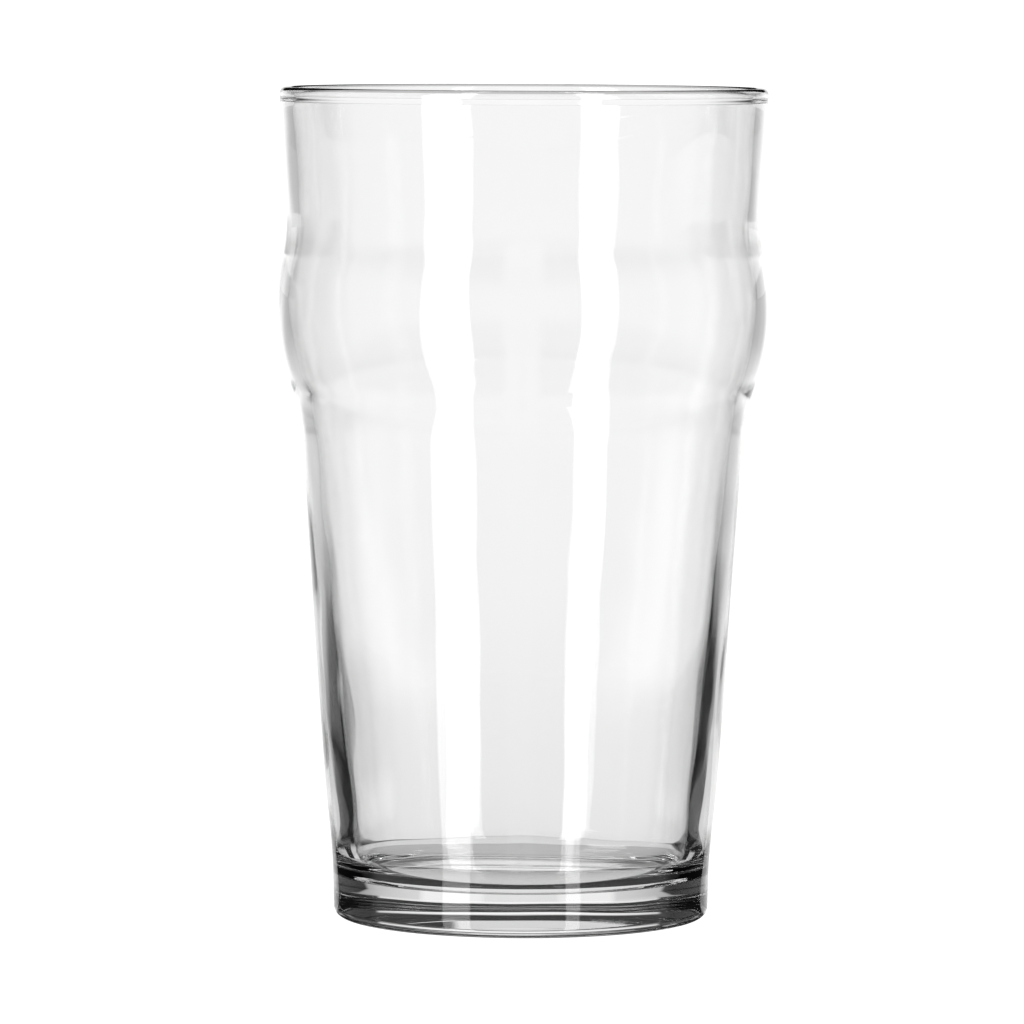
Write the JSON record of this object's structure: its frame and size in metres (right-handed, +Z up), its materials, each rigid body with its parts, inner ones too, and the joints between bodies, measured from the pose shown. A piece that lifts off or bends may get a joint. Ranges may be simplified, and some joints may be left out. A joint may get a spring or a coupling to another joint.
{
  "type": "pint glass",
  "caption": "Tall clear pint glass: tapered wall, rounded stacking bulge below a slightly flared mouth, fire-polished rim and a thick moulded base.",
  "frame": {"origin": "centre of the ring the glass stands on, on the glass's axis", "axes": "+Z up along the glass's axis, from the base to the rim; X and Y are any two square directions, because the glass is a solid of revolution"},
  "size_m": [0.0884, 0.0884, 0.1492],
  "materials": {
    "clear_glass": "clear fire-polished soda-lime glass, with a finely stippled bearing ring under the base"
  },
  "bodies": {
    "root": {"glass": "clear_glass"}
  },
  "joints": []
}
